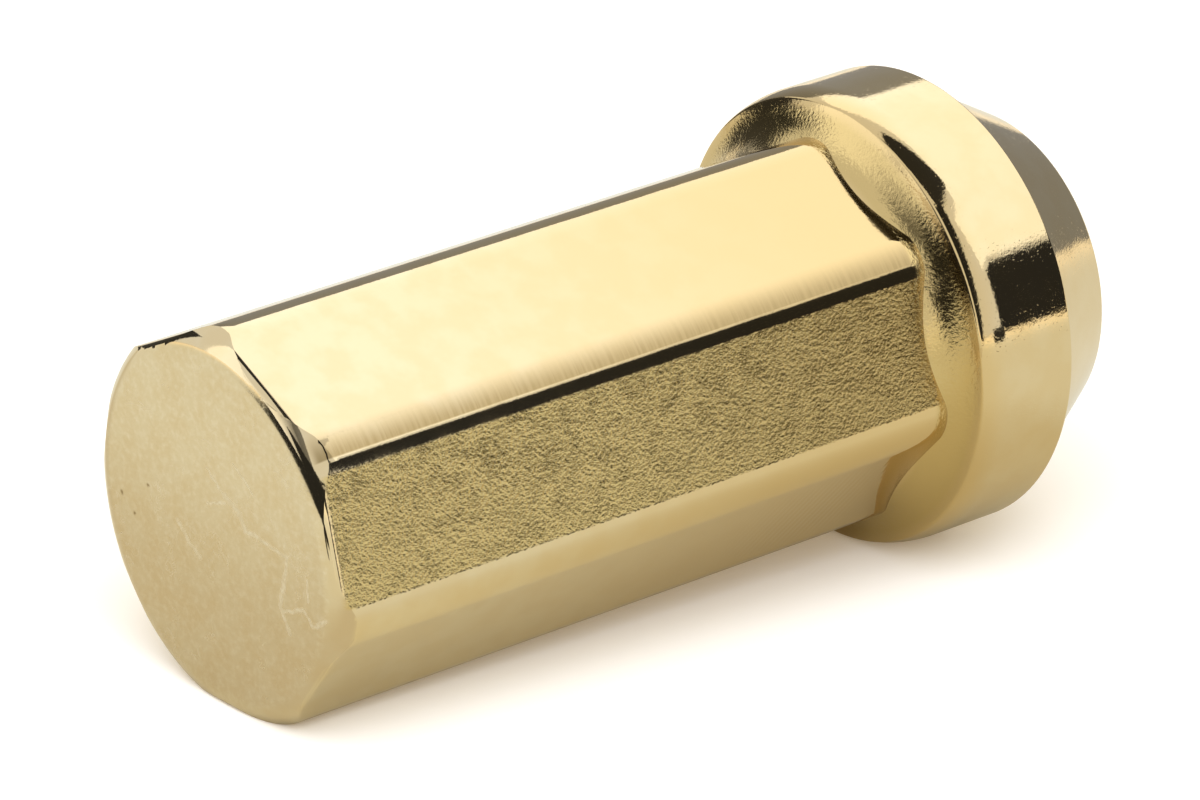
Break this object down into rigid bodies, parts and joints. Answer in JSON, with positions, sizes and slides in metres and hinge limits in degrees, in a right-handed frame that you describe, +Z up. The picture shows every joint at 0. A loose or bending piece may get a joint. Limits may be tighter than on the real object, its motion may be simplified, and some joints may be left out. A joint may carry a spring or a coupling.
{
  "type": "lug nut",
  "caption": "Closed-end wheel lug nut with a long many-sided drive body, a flange, a cone seat and a blind threaded bore, lying on its side",
  "frame": {"origin": "on the floor, under the middle of the lying nut's box", "axes": "+X along the nut from the closed end to the open end, +Z up, a flat of the drive body facing the floor"},
  "size_m": [0.051, 0.024, 0.0242],
  "materials": {
    "gold_plate": "bright gold plating over forged steel, one flat with a fine rough grain, scuffed closed end"
  },
  "bodies": {
    "root": {"lug_nut": "gold_plate"}
  },
  "joints": []
}
